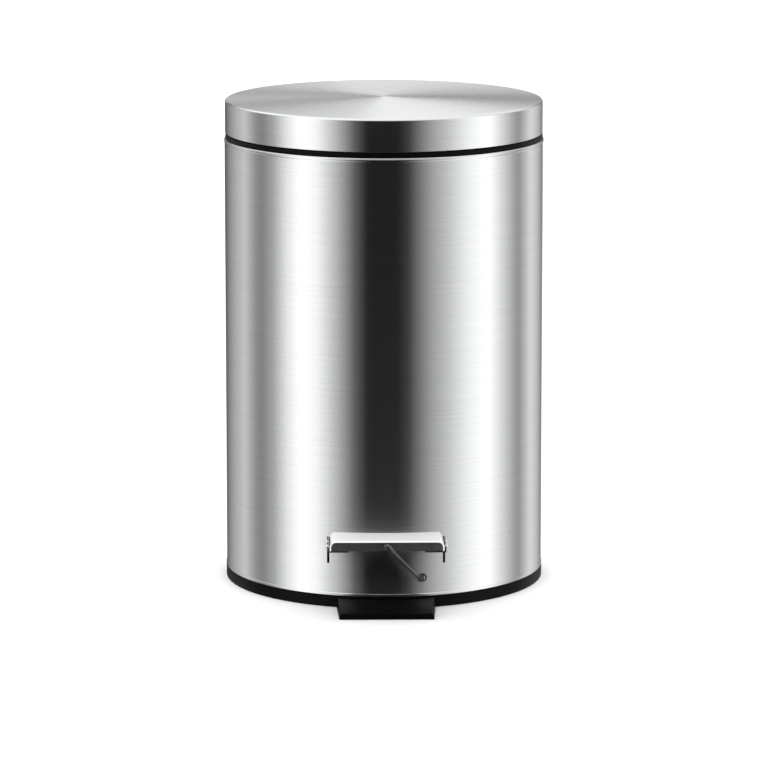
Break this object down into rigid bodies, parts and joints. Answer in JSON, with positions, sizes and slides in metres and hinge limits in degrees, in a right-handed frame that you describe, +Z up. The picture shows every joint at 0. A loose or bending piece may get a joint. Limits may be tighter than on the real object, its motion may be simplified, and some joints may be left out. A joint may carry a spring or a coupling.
{
  "type": "pedal trash can",
  "caption": "Round steel kitchen bin on a plastic base: a foot pedal lifts the hinged lid through a lever and a push rod, and a lift-out bucket with a wire bail hangs inside.",
  "frame": {"origin": "on the can's axis at the floor, on the base's underside", "axes": "+Z up along the can's axis, +X to the right seen from the front, the pedal points to -Y and the lid's hinge is at +Y"},
  "size_m": [0.2508, 0.3108, 0.382],
  "materials": {
    "brushed_stainless": "stainless sheet, brushed round the body and spun on the lid",
    "polished_stainless": "polished stainless pressing",
    "zinc_plated_steel": "zinc-plated steel sheet, wire and fasteners",
    "spring_steel": "dark drawn spring wire",
    "black_polypropylene": "black moulded plastic, satin",
    "grey_polypropylene": "dark grey moulded plastic, fine grain"
  },
  "bodies": {
    "housing": {"body_shell": "brushed_stainless", "base": "black_polypropylene", "collar": "black_polypropylene", "hinge_housing": "black_polypropylene", "hinge_pin": "zinc_plated_steel", "hinge_screw_left": "zinc_plated_steel", "hinge_screw_right": "zinc_plated_steel", "pivot_bracket": "zinc_plated_steel", "bracket_screw_left": "zinc_plated_steel", "bracket_screw_right": "zinc_plated_steel", "pivot_pin": "zinc_plated_steel", "pivot_clip_left": "zinc_plated_steel", "pivot_clip_right": "zinc_plated_steel", "rod_guide_lower": "black_polypropylene", "rod_guide_upper": "black_polypropylene", "guide_rivet_lower": "polished_stainless", "guide_rivet_upper": "polished_stainless", "spring_stud": "zinc_plated_steel", "return_spring": "spring_steel"},
    "pedal": {"pedal_tread": "polished_stainless", "pedal_frame": "zinc_plated_steel", "tread_rivet_left_front": "polished_stainless", "tread_rivet_left_rear": "polished_stainless", "tread_rivet_right_front": "polished_stainless", "tread_rivet_right_rear": "polished_stainless", "lever_bar": "zinc_plated_steel", "lever_rivet_left": "zinc_plated_steel", "lever_rivet_right": "zinc_plated_steel"},
    "push_rod": {"push_rod": "zinc_plated_steel", "rod_clip_lower": "zinc_plated_steel", "rod_clip_upper": "zinc_plated_steel"},
    "lid": {"lid_cap": "brushed_stainless", "lid_liner": "black_polypropylene", "lid_bracket": "zinc_plated_steel", "lid_screw_front": "zinc_plated_steel", "lid_screw_rear": "zinc_plated_steel"},
    "bucket": {"inner_bucket": "grey_polypropylene"},
    "bail": {"bail": "zinc_plated_steel", "bail_grip": "black_polypropylene"}
  },
  "joints": [
    {"name": "pedal_press", "type": "hinge", "parent": "housing", "child": "pedal", "pos_m": [0, -0.058, 0.04], "axis": [1, 0, 0], "range_deg": [0, 8.9], "stiffness_Nm_per_rad": 0.5, "springref_deg": -22.92, "deforming": ["return_spring"]},
    {"name": "push_rod_lift", "type": "slide", "parent": "housing", "child": "push_rod", "axis": [0, 0, 1], "range_m": [0, 0.02686]},
    {"name": "lid_swing", "type": "hinge", "parent": "housing", "child": "lid", "pos_m": [0, 0.131, 0.352], "axis": [-1, 0, 0], "range_deg": [0, 80.01]},
    {"name": "bucket_lift", "type": "slide", "parent": "housing", "child": "bucket", "axis": [0, 0, 1], "range_m": [0, 0.006]},
    {"name": "bail_swing", "type": "hinge", "parent": "bucket", "child": "bail", "pos_m": [0, 0, 0.35], "axis": [-1, 0, 0], "range_deg": [0, 6.5]}
  ],
  "couplings": [
    {"joint": "push_rod_lift", "follows": "pedal_press", "m_per_rad": 0.17283},
    {"joint": "lid_swing", "follows": "pedal_press", "ratio": 8.987}
  ]
}
